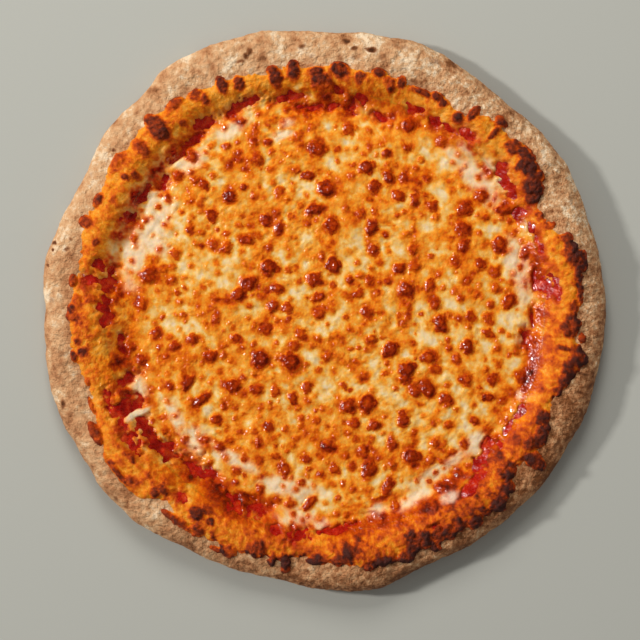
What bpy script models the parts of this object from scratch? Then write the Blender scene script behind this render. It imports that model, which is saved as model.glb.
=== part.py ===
"""A whole baked cheese pizza, 350 mm across and uncut, as three solids.

The crust is one piece of dough: a thin base inside a puffed rim. The tomato sauce is a thin layer
on the base. The cheese is one melted sheet over both, up to the crest of the rim, with openings
along the foot of the rim where the sauce shows. The browned blisters of the cheese are low domes
fused to the sheet.

Metres, +Z up, origin at the centre of the underside. Angles run anticlockwise from +X.
"""

import math
import random

import bmesh
import bpy
from mathutils import Vector, noise
from mathutils.bvhtree import BVHTree
from mathutils.geometry import delaunay_2d_cdt

MM = 0.001

# The plan. Both rows of millimetres are read every 10 degrees, starting at +X.
DIAMETER = 0.350
EDGE_WANDER_MM = (
    0.3, -0.3, -0.9, 0.9, 0.3, -2.8, -0.3, 2.2, 0.3, -0.9, 2.8, 4.7,
    5.3, 1.6, 1.6, -2.8, -1.6, 2.2, -0.9, 0.9, 2.2, 0.9, 2.2, 0.3,
    -4.1, -4.7, -5.3, -1.6, 0.9, -4.1, -3.4, -2.8, -1.6, -1.6, -0.3, -0.3,
)
BARE_RIM_WIDTHS_MM = (
    15.0, 12.0, 20.5, 18.5, 13.5, 10.5, 22.0, 25.5, 21.0, 21.0, 22.5, 22.0,
    20.5, 13.0, 15.0, 10.5, 13.5, 18.0, 13.5, 16.0, 18.5, 12.5, 11.0, 14.5,
    10.0, 7.5, 7.5, 15.0, 12.5, 8.5, 8.5, 7.5, 14.5, 13.5, 18.5, 10.0,
)
CORNER_ANGLE = math.radians(123.0)
CORNER_SPREAD = math.radians(4.0)
CORNER_RISE = 0.0025

# The dough: a flat underside, a rounded edge, a crest and a slope down to the base. The sizes of
# the rim's puffs and lumps are in radians round the pizza.
BASE_THICKNESS = 0.005
EDGE_HEIGHT = 0.009
RIM_HEIGHT = 0.0190
RIM_PUFF = 0.0018
RIM_PUFF_SIZE = 0.45
RIM_LUMP = 0.0008
RIM_LUMP_SIZE = 0.14
CREST_INSET = 0.016
FOOT_INSET = 0.040
UNDERSIDE_INSET = 0.010
UNDERSIDE_STEPS = 3

# The sauce and the cheese. Each row pairs a fraction of the radius with a thickness.
GAP = 0.0003
SAUCE_END = 0.87
SAUCE_THICKNESS = ((0.0, 0.0012), (0.68, 0.0013), (0.76, 0.0022), (0.82, 0.0018), (0.87, 0.0010))
CHEESE_END = 0.90
CHEESE_THICKNESS = ((0.0, 0.0034), (0.64, 0.0036), (0.76, 0.0018), (0.84, 0.0021), (0.90, 0.0013))
SAUCE_UNEVENNESS = 0.0004
SAUCE_LUMP_SIZE = 0.018
CHEESE_UNEVENNESS = 0.0006
CHEESE_LUMP_SIZE = 0.030

# Where each kind of unevenness is read from the noise.
PUFF_SEED = 2.5
LUMP_SEED = 5.5
SAUCE_SEED = 4.5
CHEESE_SEED = 8.5

# The plan's points lie on rings: coarse ones in the middle and finer ones from the sauce outward.
CENTRE_RINGS = 7
CENTRE_END = 0.66
SPOKES = 96
OUTER_START = 0.72
OUTER_RINGS = (0.72, 0.76, 0.80, 0.84, 0.87, 0.90, 0.93, 0.96, 0.98, 0.993, 1.0)

# Openings in the cheese: angle, radius in millimetres, half angle, half length along the radius.
OPENINGS = (
    (5, 142, 4.0, 7.5), (18, 140, 4.5, 3.5), (36, 141, 7.0, 4.4), (52, 140, 4.0, 6.2),
    (80, 132, 2.5, 7.5), (98, 135, 5.0, 3.7), (110, 139, 6.0, 3.7), (122, 140, 4.0, 5.0),
    (154, 136, 2.5, 4.4), (179, 138, 2.5, 5.0), (191, 128, 4.0, 3.0), (206, 140, 4.0, 8.7),
    (213, 142, 3.0, 6.0), (221, 133, 5.0, 5.0), (230, 125, 6.0, 5.6), (252, 132, 4.0, 5.6),
    (264, 142, 3.0, 5.0), (309, 143, 4.0, 3.7), (316, 136, 4.0, 5.0), (321, 133, 2.5, 7.5),
)

# The largest blisters of the middle: x, y, half length, half width in millimetres, and turn.
LARGE_BLISTERS = (
    (-4, 101, 5.6, 5.6, 0), (-10, 84.5, 5.6, 3.1, 0), (1.5, 76, 6.2, 5.6, 0),
    (-6.5, 63.5, 6.9, 3.7, 15), (4.5, 54, 6.2, 5, 90), (-36.5, 56.5, 5, 3.7, 100),
    (-48.5, 44.5, 5, 3.7, 0), (-34.5, 28, 6.2, 5.6, 0), (-47.5, 17, 6.2, 5, 0),
    (-53.5, 11, 5.6, 4.4, 50), (-29.5, 14.5, 5, 3.7, 0), (-7, 19.5, 5.6, 5, 100),
    (-32, 3.5, 5, 3.7, 25), (-59.5, 72, 5, 4.4, 110), (-70, 59.5, 5, 3.7, 100),
    (-109.5, 22.5, 6.2, 5.2, 70), (52.5, 116, 5.6, 5, 90), (26, 90, 5.2, 5, 0),
    (40, 83.5, 5.6, 3.7, 115), (31, 78, 5, 3.9, 95), (46.5, 72, 5, 3.7, 5),
    (56.5, 70, 5, 3.4, 95), (87.5, 64, 5.8, 4.9, 40), (87, 52, 6.6, 4.3, -35),
    (97.5, 72, 5, 4, 75), (109, 42.5, 5.6, 4.6, 80), (124.5, 36.5, 5, 3.1, 85),
    (112, 64, 7.2, 4.2, 20), (29.5, 52, 6.4, 3.7, 60), (5.5, 29, 7.2, 4.4, 105),
    (51, 13.5, 6.4, 5.2, 110), (47, 26.5, 5, 3.7, 0), (115, 6.5, 5.8, 4.2, 60),
    (-84.5, -44.5, 7, 2.9, 58), (-76, -54.5, 7.2, 3, 42), (-71, -28, 5, 4, 10),
    (-39.5, -29.5, 7, 5.8, 120), (-20.5, -31.5, 7.6, 6.3, -35), (-57.5, -46, 6, 4.4, 15),
    (-19.5, -54.5, 5, 3.1, 95), (-67.5, -67.5, 5, 3.8, -10), (-24.5, -98.5, 5.3, 3.8, 92),
    (-9, -119.5, 7, 3, 52), (26.5, -0.5, 5.4, 3.4, -60), (72.5, -8, 6.9, 4.4, -62),
    (89.5, -22, 6.2, 4, 95), (125.5, -18.5, 6.2, 4.8, 95), (41, -23.5, 6.2, 5, 55),
    (64.5, -28.5, 5.2, 4.8, -40), (52.5, -36, 5.8, 4.6, 60), (65, -49, 6.2, 5, 95),
    (56.5, -50, 5, 4.2, 110), (76, -54.5, 5, 4.3, -20), (102, -53.5, 5, 2.8, 0),
    (14.5, -59.5, 5.8, 5, -10), (26.5, -57, 7.4, 5.4, 72), (49.5, -67.5, 5, 4.3, 100),
    (42.5, -82, 5, 3.5, -55), (54, -90, 6, 5.6, 0), (28, -98.5, 6, 5.6, 30),
    (39, -109.5, 7, 3.8, 68), (74, -109, 5, 3.6, 5), (67, -121.5, 4.4, 4, -20),
)

# Scorched blisters on the rim: angle, radius, half size round the rim, half size along the radius.
RIM_BLISTERS = (
    (92, 143, 6.5, 8.5), (102, 148, 4.4, 6.5), (110.5, 151, 3.7, 5.0), (132.5, 155, 6.2, 7.5),
    (138.5, 154, 3.4, 6.5), (143.5, 158, 6.0, 3.1), (154, 155, 3.1, 4.0), (159.5, 155.5, 3.4, 3.4),
    (12, 156, 5.0, 4.2), (36, 152, 8.5, 4.0), (356.5, 155, 5.0, 5.6), (349, 157, 4.5, 3.7),
    (331, 152, 7.0, 5.0), (324.5, 154, 4.2, 3.7), (316.5, 153, 5.6, 4.2), (305, 159, 6.5, 2.8),
    (298.5, 139, 3.7, 4.4), (288, 158, 7.0, 2.8), (275, 153, 7.0, 4.0), (238, 147, 5.0, 5.0),
    (189.5, 154, 2.8, 3.1), (194.5, 119, 3.7, 3.7), (178, 115, 5.0, 3.7), (170, 112, 6.5, 5.0),
)
BLISTER_RISE = 0.42
BLISTER_SEAT = 0.0003
BLISTER_FOOT = 0.0007
SMALL_BLISTERS = 42
SMALL_BLISTER_RADII = (0.0040, 0.0028)
SMALL_BLISTER_SPACE = 0.004
SMALL_BLISTER_SEED = 11


def around(values, angle):
    """Read a closed row of values at an angle, along a Catmull-Rom curve."""
    place = (angle / math.tau) % 1.0 * len(values)
    first = int(place)
    t = place - first
    a, b, c, d = (values[(first + k - 1) % len(values)] for k in range(4))
    return b + 0.5 * t * (c - a + t * (2 * a - 5 * b + 4 * c - d + t * (3 * (b - c) + d - a)))


def along(rows, place):
    """Read a value from rows of (place, value), straight between two rows."""
    for (start, low), (end, high) in zip(rows, rows[1:]):
        if place <= end:
            return low + (high - low) * (place - start) / (end - start)
    return rows[-1][1]


def unevenness(x, y, size, seed):
    """Smooth noise over the plan, between about -1 and 1, whose lumps are as wide as size."""
    return 1.6 * noise.noise(Vector((x / size, y / size, seed)))


def edge_radius(angle):
    """The outline of the whole pizza."""
    off_corner = math.remainder(angle - CORNER_ANGLE, math.tau) / CORNER_SPREAD
    corner = CORNER_RISE * math.exp(-off_corner * off_corner)
    return DIAMETER / 2 + MM * around(EDGE_WANDER_MM, angle) + corner


def cheese_radius(angle):
    """The outer border of the cheese, where the bare rim begins."""
    return edge_radius(angle) - MM * around(BARE_RIM_WIDTHS_MM, angle)


# Fractions run from 0 at the centre to 1 at the edge. The cheese always ends at CHEESE_END.
def radius_at(fraction, angle):
    """The radius of a fraction, drawn so that one ring follows the border of the cheese."""
    edge = edge_radius(angle)
    stops = ((0.0, 0.0), (OUTER_START, OUTER_START * edge), (CHEESE_END, cheese_radius(angle)), (1.0, edge))
    return along(stops, fraction)


def fraction_at(x, y):
    """The fraction of a point of the plan."""
    angle = math.atan2(y, x)
    edge = edge_radius(angle)
    stops = ((0.0, 0.0), (OUTER_START * edge, OUTER_START), (cheese_radius(angle), CHEESE_END), (edge, 1.0))
    return along(stops, math.hypot(x, y))


def dough_top(x, y):
    """The dough's upper surface: a rounded edge, the crest, the slope inside it and the base."""
    angle = math.atan2(y, x)
    inset = max(0.0, edge_radius(angle) - math.hypot(x, y))
    ahead, aside = math.cos(angle), math.sin(angle)
    crest = RIM_HEIGHT + RIM_PUFF * unevenness(ahead, aside, RIM_PUFF_SIZE, PUFF_SEED)
    crest += RIM_LUMP * unevenness(ahead, aside, RIM_LUMP_SIZE, LUMP_SEED)
    if inset < CREST_INSET:
        lean = 1.0 - inset / CREST_INSET
        return EDGE_HEIGHT + (crest - EDGE_HEIGHT) * math.sqrt(1.0 - lean * lean)
    if inset < FOOT_INSET:
        slope = (inset - CREST_INSET) / (FOOT_INSET - CREST_INSET)
        return BASE_THICKNESS + (crest - BASE_THICKNESS) * (0.5 + 0.5 * math.cos(math.pi * slope))
    return BASE_THICKNESS


def sauce_top(x, y):
    """The sauce's upper surface, thickest along the foot of the rim."""
    thickness = along(SAUCE_THICKNESS, fraction_at(x, y))
    lumps = SAUCE_UNEVENNESS * unevenness(x, y, SAUCE_LUMP_SIZE, SAUCE_SEED)
    return dough_top(x, y) + thickness + lumps


def cheese_bottom(x, y):
    """The cheese's lower surface, clear of the sauce and, beyond the sauce, of the dough."""
    under_sauce = fraction_at(x, y) < SAUCE_END + 0.001
    return (sauce_top(x, y) if under_sauce else dough_top(x, y)) + GAP


def cheese_top(x, y):
    """The cheese's upper surface, thinnest over the ring of sauce and calmest near the edge."""
    fraction = fraction_at(x, y)
    calm = min(1.0, 1.6 * (1.0 - fraction))
    lumps = CHEESE_UNEVENNESS * calm * unevenness(x, y, CHEESE_LUMP_SIZE, CHEESE_SEED)
    return cheese_bottom(x, y) + along(CHEESE_THICKNESS, fraction) + lumps


def plan_mesh():
    """Triangles of the plan, coarse in the middle and finer from the ring of sauce outward."""
    places = [(0.0, 0.0)]
    for ring in range(1, CENTRE_RINGS + 1):
        count = 6 * ring
        places += [(CENTRE_END * ring / CENTRE_RINGS, math.tau * k / count) for k in range(count)]
    for ring, fraction in enumerate(OUTER_RINGS):
        turn = 0.5 * (ring % 2)
        places += [(fraction, math.tau * (k + turn) / SPOKES) for k in range(SPOKES)]
    disc = [Vector((fraction * math.cos(angle), fraction * math.sin(angle))) for fraction, angle in places]
    points, _, triangles, *_ = delaunay_2d_cdt(disc, [], [], 0, 1e-7)
    plan = []
    for point in points:
        angle = math.atan2(point.y, point.x)
        radius = radius_at(point.length, angle)
        plan.append((radius * math.cos(angle), radius * math.sin(angle)))
    return plan, triangles


def is_open(x, y):
    """Whether a point of the plan lies in one of the openings of the cheese."""
    angle = math.atan2(y, x)
    radius = math.hypot(x, y)
    for degrees, middle, half_angle, half_length in OPENINGS:
        off_angle = math.degrees(math.remainder(angle - math.radians(degrees), math.tau))
        off_radius = (radius - middle * MM) / (half_length * MM)
        if (off_angle / half_angle) ** 2 + off_radius ** 2 < 1.0:
            return True
    return False


def plan_faces(end, with_openings=False):
    """A flat mesh of the plan's triangles out to a fraction."""
    plan, triangles = plan_mesh()
    bm = bmesh.new()
    verts = [bm.verts.new((x, y, 0.0)) for x, y in plan]
    for corners in triangles:
        x, y = (sum(plan[k][axis] for k in corners) / 3.0 for axis in (0, 1))
        if fraction_at(x, y) < end and not (with_openings and is_open(x, y)):
            bm.faces.new([verts[k] for k in corners])
    bmesh.ops.delete(bm, geom=[v for v in bm.verts if not v.link_faces], context="VERTS")
    crossings = [v for v in bm.verts if sum(e.is_boundary for e in v.link_edges) > 2]
    while crossings:
        bmesh.ops.delete(bm, geom=crossings, context="VERTS")
        crossings = [v for v in bm.verts if sum(e.is_boundary for e in v.link_edges) > 2]
    return bm


def srgb(red, green, blue):
    """A colour of 0 to 255 steps as linear values with alpha."""
    steps = (value / 255.0 for value in (red, green, blue))
    return (*(s / 12.92 if s <= 0.04045 else ((s + 0.055) / 1.055) ** 2.4 for s in steps), 1.0)


def add_object(name, bm, collection, material=None):
    """Turn a bmesh into a named, smoothly shaded object of a collection."""
    bmesh.ops.recalc_face_normals(bm, faces=bm.faces[:])
    mesh = bpy.data.meshes.new(name)
    bm.to_mesh(mesh)
    bm.free()
    mesh.shade_smooth()
    if material is not None:
        mesh.materials.append(material)
    obj = bpy.data.objects.new(name, mesh)
    collection.objects.link(obj)
    return obj


def add_material(name, colour, roughness):
    """A plain material of one colour."""
    material = bpy.data.materials.new(name)
    material.use_nodes = True
    shader = material.node_tree.nodes["Principled BSDF"]
    shader.inputs["Base Color"].default_value = colour
    shader.inputs["Roughness"].default_value = roughness
    shader.inputs["Metallic"].default_value = 0.0
    return material


def build_crust(collection):
    """The dough: the upper surface, a rounded lower edge and a flat underside."""
    bm = plan_faces(end=1.0)
    for vert in bm.verts:
        vert.co.z = dough_top(vert.co.x, vert.co.y)
    for step in range(1, UNDERSIDE_STEPS + 1):
        turn = 0.5 * math.pi * step / UNDERSIDE_STEPS
        inset = UNDERSIDE_INSET * (1.0 - math.cos(turn))
        height = EDGE_HEIGHT * (1.0 - math.sin(turn))
        border = [edge for edge in bm.edges if edge.is_boundary]
        bmesh.ops.extrude_edge_only(bm, edges=border)
        for vert in {v for edge in bm.edges if edge.is_boundary for v in edge.verts}:
            angle = math.atan2(vert.co.y, vert.co.x)
            radius = edge_radius(angle) - inset
            vert.co = (radius * math.cos(angle), radius * math.sin(angle), height)
    bmesh.ops.edgeloop_fill(bm, edges=[edge for edge in bm.edges if edge.is_boundary])
    return add_object("crust", bm, collection, add_material("baked_dough", srgb(205, 160, 125), 0.75))


def build_layer(name, bm, bottom, top, collection, material):
    """A closed layer between two surfaces, over a flat mesh of the plan."""
    lower = bm.verts[:]
    bmesh.ops.extrude_face_region(bm, geom=bm.faces[:], use_keep_orig=True)
    upper = set(bm.verts) - set(lower)
    for vert in lower:
        vert.co.z = bottom(vert.co.x, vert.co.y)
    for vert in upper:
        vert.co.z = top(vert.co.x, vert.co.y)
    return add_object(name, bm, collection, material)


def build_sauce(collection):
    """The sauce: a thin layer over the base and up the foot of the rim."""
    material = add_material("tomato_sauce", srgb(175, 30, 12), 0.30)

    def bottom(x, y):
        return dough_top(x, y) + GAP

    return build_layer("tomato_sauce", plan_faces(SAUCE_END), bottom, sauce_top, collection, material)


def blister_places():
    """Every blister as x, y, half length, half width and turn, the largest first."""
    places = [(x * MM, y * MM, a * MM, b * MM, math.radians(turn)) for x, y, a, b, turn in LARGE_BLISTERS]
    for degrees, radius, half_round, half_radial in RIM_BLISTERS:
        angle = math.radians(degrees)
        x, y = radius * MM * math.cos(angle), radius * MM * math.sin(angle)
        places.append((x, y, half_radial * MM, half_round * MM, angle))
    draw = random.Random(SMALL_BLISTER_SEED)
    wanted = len(places) + SMALL_BLISTERS
    while len(places) < wanted:
        angle = draw.uniform(0.0, math.tau)
        reach = 0.70 * DIAMETER / 2 * math.sqrt(draw.random())
        size = draw.uniform(*SMALL_BLISTER_RADII)
        slim = draw.uniform(0.75, 1.0)
        turn = draw.uniform(0.0, math.pi)
        x, y = reach * math.cos(angle), reach * math.sin(angle)
        free = all(
            math.hypot(x - px, y - py) > size + length + SMALL_BLISTER_SPACE
            for px, py, length, *_ in places
        )
        if free:
            places.append((x, y, size, slim * size, turn))
    return places


def add_blister(place, sheet, collection):
    """One dome draped over the sheet, or none where it would hang over a border."""
    x, y, half_length, half_width, turn = place
    bm = bmesh.new()
    bmesh.ops.create_uvsphere(bm, u_segments=8, v_segments=4, radius=1.0)
    rise = BLISTER_RISE * math.sqrt(half_length * half_width)
    for vert in bm.verts:
        u, v, w = vert.co
        along_it, across_it = u * half_length, v * half_width
        spot_x = x + along_it * math.cos(turn) - across_it * math.sin(turn)
        spot_y = y + along_it * math.sin(turn) + across_it * math.cos(turn)
        hit = sheet.ray_cast(Vector((spot_x, spot_y, 1.0)), Vector((0.0, 0.0, -1.0)))[0]
        if hit is None:
            bm.free()
            return
        lift = rise * w if w > 0.0 else BLISTER_FOOT * w
        vert.co = (spot_x, spot_y, hit.z + lift - BLISTER_SEAT)
    add_object("blister", bm, collection)


def build_cheese(collection):
    """The cheese: the melted sheet with its openings and its blisters, fused to one solid."""
    material = add_material("melted_cheese", srgb(238, 165, 70), 0.35)
    faces = plan_faces(CHEESE_END, with_openings=True)
    cheese = build_layer("cheese", faces, cheese_bottom, cheese_top, collection, material)
    sheet = BVHTree.FromPolygons(
        [vert.co for vert in cheese.data.vertices], [face.vertices for face in cheese.data.polygons]
    )
    blisters = bpy.data.collections.new("blisters")
    bpy.context.scene.collection.children.link(blisters)
    for place in blister_places():
        add_blister(place, sheet, blisters)
    union = cheese.modifiers.new("blisters", "BOOLEAN")
    union.operation = "UNION"
    union.solver = "EXACT"
    union.operand_type = "COLLECTION"
    union.collection = blisters
    fused = bpy.data.meshes.new_from_object(cheese.evaluated_get(bpy.context.evaluated_depsgraph_get()))
    cheese.modifiers.clear()
    cheese.data = fused
    fused.name = cheese.name
    for obj in list(blisters.objects):
        bpy.data.objects.remove(obj)
    bpy.data.collections.remove(blisters)
    return cheese


def main():
    for obj in list(bpy.data.objects):
        bpy.data.objects.remove(obj)
    pizza = bpy.data.collections.new("cheese_pizza")
    bpy.context.scene.collection.children.link(pizza)
    build_crust(pizza)
    build_sauce(pizza)
    build_cheese(pizza)


main()
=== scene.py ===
import itertools
import math
import random
from functools import partial

import bpy
import numpy as np
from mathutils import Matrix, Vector, noise


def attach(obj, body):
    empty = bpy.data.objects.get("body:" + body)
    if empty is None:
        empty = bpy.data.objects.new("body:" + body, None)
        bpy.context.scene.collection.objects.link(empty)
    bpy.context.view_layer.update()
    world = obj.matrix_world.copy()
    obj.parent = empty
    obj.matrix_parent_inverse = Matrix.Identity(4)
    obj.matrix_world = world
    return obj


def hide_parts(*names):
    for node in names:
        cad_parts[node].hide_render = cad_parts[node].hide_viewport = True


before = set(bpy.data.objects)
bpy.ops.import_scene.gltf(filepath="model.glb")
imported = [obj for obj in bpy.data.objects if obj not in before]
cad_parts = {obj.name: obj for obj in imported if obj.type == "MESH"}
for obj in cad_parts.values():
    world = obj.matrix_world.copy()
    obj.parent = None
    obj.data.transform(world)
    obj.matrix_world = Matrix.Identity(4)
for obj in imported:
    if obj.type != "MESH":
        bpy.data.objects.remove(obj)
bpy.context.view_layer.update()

# A whole baked cheese pizza, uncut, from the dough upward. Metres, +Z up, origin at the centre of
# the underside. Angles run anticlockwise from +X. Places of the plan are angle and radius.


# ---- The crust ----
# One round of wheat dough, pressed out by hand from the middle so that a thick airy rim is left
# standing. It is baked on a hot stone: tan and floury, wrinkled where it rose, brown on its bumps.

MM = 0.001
DIAMETER = 0.350
EDGE_WANDER_MM = (
    0.3, -0.3, -0.9, 0.9, 0.3, -2.8, -0.3, 2.2, 0.3, -0.9, 2.8, 4.7, 5.3, 1.6, 1.6, -2.8, -1.6, 2.2,
    -0.9, 0.9, 2.2, 0.9, 2.2, 0.3, -4.1, -4.7, -5.3, -1.6, 0.9, -4.1, -3.4, -2.8, -1.6, -1.6, -0.3,
    -0.3,
)
CORNER_ANGLE, CORNER_SPREAD, CORNER_RISE = math.radians(123.0), math.radians(4.0), 0.0025
BASE_THICKNESS = 0.005
EDGE_HEIGHT = 0.009
RIM_HEIGHT = 0.0190
CREST_INSET = 0.016
CREST_DROP, DROP_TOWARD = 0.11, 2.45
FOOT_INSET = 0.047
FOOT_WIDER, WIDER_TOWARD = 0.010, 3.45
FOOT_NARROWER, NARROWER_TOWARD = 0.004, 2.80
SLOPE_HOLD, HOLD_MORE, HOLD_TOWARD = 1.4, 0.36, 2.3
UNDERSIDE_INSET, UNDERSIDE_HOLLOW, UNDERSIDE_RINGS = 0.010, 0.0006, 45
FOLD_HEIGHT, FOLD_WIDTH, FOLD_STRETCH, FOLD_RADIUS = 0.00034, 0.0026, 5.0, 0.17
SPOT_RAGGED = 0.0014
SPOKES = 1320
NOISE_CELLS = 256

# Relief: height, size, seed, and the layers of noise if more than one. The rim's sizes are
# shares of its radius.
RIM_SWELLINGS = ((0.0018, 0.45, 2.5), (0.0008, 0.14, 5.5))
DOUGH_RELIEF = (
    (0.0009, 0.026, 11.2), (0.0005, 0.010, 12.7, 2), (0.00046, 0.0048, 14.9, 2),
    (0.00012, 0.0028, 13.1, 2),
)
SIDE_RELIEF = ((0.0010, 0.016, 15.3), (0.0004, 0.006, 16.9, 2), (0.00012, 0.0025, 17.7, 2))

# Browned spots of the dough: angle, radius, half size round it and along it in mm, depth in %.
DOUGH_SPOTS = (
    (85.4, 168.5, 2.3, 2.6, 85), (79.8, 164.8, 4.2, 1.8, 95), (83.2, 164, 3, 1.6, 75),
    (77, 161.5, 5, 3, 50), (83, 159, 5, 3, 40), (86.5, 158, 3.2, 3.6, 50), (68.5, 153.4, 4, 2, 60),
    (74, 171, 12, 2.2, 38), (66, 169.5, 8, 2.8, 40), (105.9, 168.6, 2.5, 3.4, 74),
    (106.9, 166, 2.5, 2.6, 74), (108.6, 163.9, 3.6, 1.5, 70), (103.8, 162, 3, 4, 48),
    (95, 165, 3.2, 3, 55), (93, 158, 4, 3, 35), (107.5, 172, 4, 2, 40), (122, 172, 2.6, 1.2, 45),
    (133, 170, 3, 2, 45), (170.4, 174.5, 1.7, 1.2, 80), (167, 173.5, 1.5, 1.2, 85),
    (165.7, 172.7, 1.4, 1.4, 85), (142.5, 164.6, 1.4, 1.2, 80), (164, 164, 2.2, 2, 50),
    (166.3, 164.5, 1.8, 2.2, 55), (157.5, 162, 2, 3, 40), (199.5, 172.5, 4.2, 2.3, 75),
    (189, 165, 3, 3.2, 45), (193, 171.5, 4, 2, 40), (222, 174, 4, 1.5, 50),
    (233, 173.5, 3, 1.5, 55), (266, 161.5, 2.5, 2, 55), (346.3, 165, 1.9, 5.5, 72),
    (342.3, 166.5, 1.9, 4.5, 72), (344.3, 171, 4.4, 1.9, 72), (8, 167, 8, 3, 32),
    (33, 163, 9, 3.5, 30), (24, 168, 10, 4, 22), (352, 168, 7, 2.5, 36), (330, 166, 6, 2, 45),
    (286, 167, 9, 3, 45), (300, 168, 7, 2, 45), (313, 168, 7, 2, 45), (150, 168, 4, 2.5, 35),
    (178, 170, 5, 3, 35), (210, 171, 4, 2.5, 35), (115, 168, 5, 3, 30),
)


def around(values, angle):
    """Read a closed row of values at angles, along a smooth curve."""
    values = np.asarray(values)
    place = (angle / math.tau) % 1.0 * len(values)
    first = np.floor(place).astype(int)
    t = place - first
    a, b, c, d = (values[(first + k - 1) % len(values)] for k in range(4))
    return b + 0.5 * t * (c - a + t * (2 * a - 5 * b + 4 * c - d + t * (3 * (b - c) + d - a)))


def ease(low, high, value):
    """Rise smoothly from 0 at low to 1 at high."""
    t = np.clip((value - low) / (high - low), 0.0, 1.0)
    return t * t * (3.0 - 2.0 * t)


def fade(low, high, value):
    """Fall smoothly from 1 at low to 0 at high."""
    return 1.0 - ease(low, high, value)


def toward(angle, direction, low, high):
    """How much angles lie toward a direction, by the cosine between them."""
    return ease(low, high, np.cos(angle - direction))


def bell(distance, width):
    """1 at no distance, falling smoothly to nothing."""
    return np.exp(-((distance / width) ** 2))


def turned(x, y, turn, from_x=0.0, from_y=0.0):
    """x and y turned, then counted from a point."""
    ahead, aside = math.cos(turn), math.sin(turn)
    return from_x + x * ahead - y * aside, from_y + x * aside + y * ahead


def oval_distance(off_x, off_y, length, width, turn):
    """Distance from the middle of an oval, 1 at its border."""
    along_it, across_it = turned(off_x, off_y, -turn)
    return np.hypot(along_it / length, across_it / width)


def edge_radius(angle):
    """The outline of the whole pizza."""
    off_corner = (angle - CORNER_ANGLE + math.pi) % math.tau - math.pi
    corner = CORNER_RISE * bell(off_corner, CORNER_SPREAD)
    return DIAMETER / 2 + MM * around(EDGE_WANDER_MM, angle) + corner


draw = np.random.default_rng(7)
CELL_ORDER = draw.permutation(NOISE_CELLS)
CELL_SLOPES = draw.normal(size=(NOISE_CELLS, 3))
CELL_SLOPES /= np.linalg.norm(CELL_SLOPES, axis=1, keepdims=True)


def unevenness(x, y, z, size, seed, layers=1):
    """Smooth noise between about -1 and 1, its lumps as wide as size."""
    total = 0.0
    for layer in range(layers):
        places = np.stack(np.broadcast_arrays(x, y, z), axis=-1) * (2.0 ** layer / size)
        places[..., 2] += seed + 0.37 * layer
        cells = np.floor(places).astype(int)
        inside = places - cells
        blend = inside ** 3 * (inside * (inside * 6.0 - 15.0) + 10.0)
        for corner in itertools.product((0, 1), repeat=3):
            order = 0
            for axis in range(3):
                order = CELL_ORDER[(order + cells[..., axis] + corner[axis]) % NOISE_CELLS]
            slope = np.sum(CELL_SLOPES[order] * (inside - corner), axis=-1)
            weight = np.prod(np.where(corner, blend, 1.0 - blend), axis=-1)
            total = total + 1.6 * weight * slope / 2.0 ** layer
    return total


def on_plan(angle, radius):
    """The x and y of places, and their unevenness by size, seed and layers."""
    x, y = radius * np.cos(angle), radius * np.sin(angle)
    return x, y, partial(unevenness, x, y, 0.0)


def polar(points):
    """The angle and radius of points."""
    return np.arctan2(points[:, 1], points[:, 0]), np.hypot(points[:, 0], points[:, 1])


def layered(uneven, relief):
    """The height of several layers of relief together."""
    return sum(height * uneven(*layer) for height, *layer in relief)


def crest_heights(count=720):
    """The height of the rim's crest at equal steps of the angle."""
    def swell(turn):
        return sum(
            height * noise.noise(Vector((math.cos(turn) / size, math.sin(turn) / size, seed)))
            for height, size, seed in RIM_SWELLINGS)

    return [RIM_HEIGHT + 1.6 * swell(math.tau * k / count) for k in range(count)]


CREST = crest_heights()


def dough_top(angle, radius):
    """The dough's smooth upper side: edge, crest, slope and base."""
    wide = toward(angle, WIDER_TOWARD, 0.80, 0.98)
    foot = FOOT_INSET + FOOT_WIDER * wide
    foot -= FOOT_NARROWER * toward(angle, NARROWER_TOWARD, 0.88, 0.99) * (1.0 - wide)
    hold = SLOPE_HOLD + HOLD_MORE * toward(angle, HOLD_TOWARD, 0.45, 0.95) * (1.0 - wide)
    inset = np.maximum(0.0, edge_radius(angle) - radius)
    crest = around(CREST, angle) * (1.0 - CREST_DROP * toward(angle, DROP_TOWARD, 0.4, 0.95))
    lean = np.clip(1.0 - inset / CREST_INSET, 0.0, 1.0)
    outside = EDGE_HEIGHT + (crest - EDGE_HEIGHT) * np.sqrt(1.0 - lean * lean)
    slope = np.clip((inset - CREST_INSET) / (foot - CREST_INSET), 0.0, 1.0) ** hold
    inside = BASE_THICKNESS + (crest - BASE_THICKNESS) * (0.5 + 0.5 * np.cos(math.pi * slope))
    return np.where(inset < CREST_INSET, outside, inside)


def wrinkles(angle, radius):
    """Fine folds that run round the rim, in patches."""
    ahead, aside = np.cos(angle) * FOLD_RADIUS, np.sin(angle) * FOLD_RADIUS
    across = (ahead / FOLD_STRETCH, aside / FOLD_STRETCH, radius)
    folds = 1.0 - 2.4 * np.abs(unevenness(*across, FOLD_WIDTH, 3.4, 2))
    return folds * ease(-0.35, 0.35, unevenness(ahead, aside, 0.0, 0.045, 9.3))


def side_weight(inset):
    """How far relief points outward, not upward: 1 at the edge, 0 on the top."""
    return bell(inset, 0.0035)


def dough_surface(angle, radius):
    """The dough's upper side with the swellings and folds that the bake leaves."""
    relief = layered(on_plan(angle, radius)[2], DOUGH_RELIEF)
    relief = relief + FOLD_HEIGHT * wrinkles(angle, radius)
    return dough_top(angle, radius) + (1.0 - side_weight(edge_radius(angle) - radius)) * relief


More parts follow.
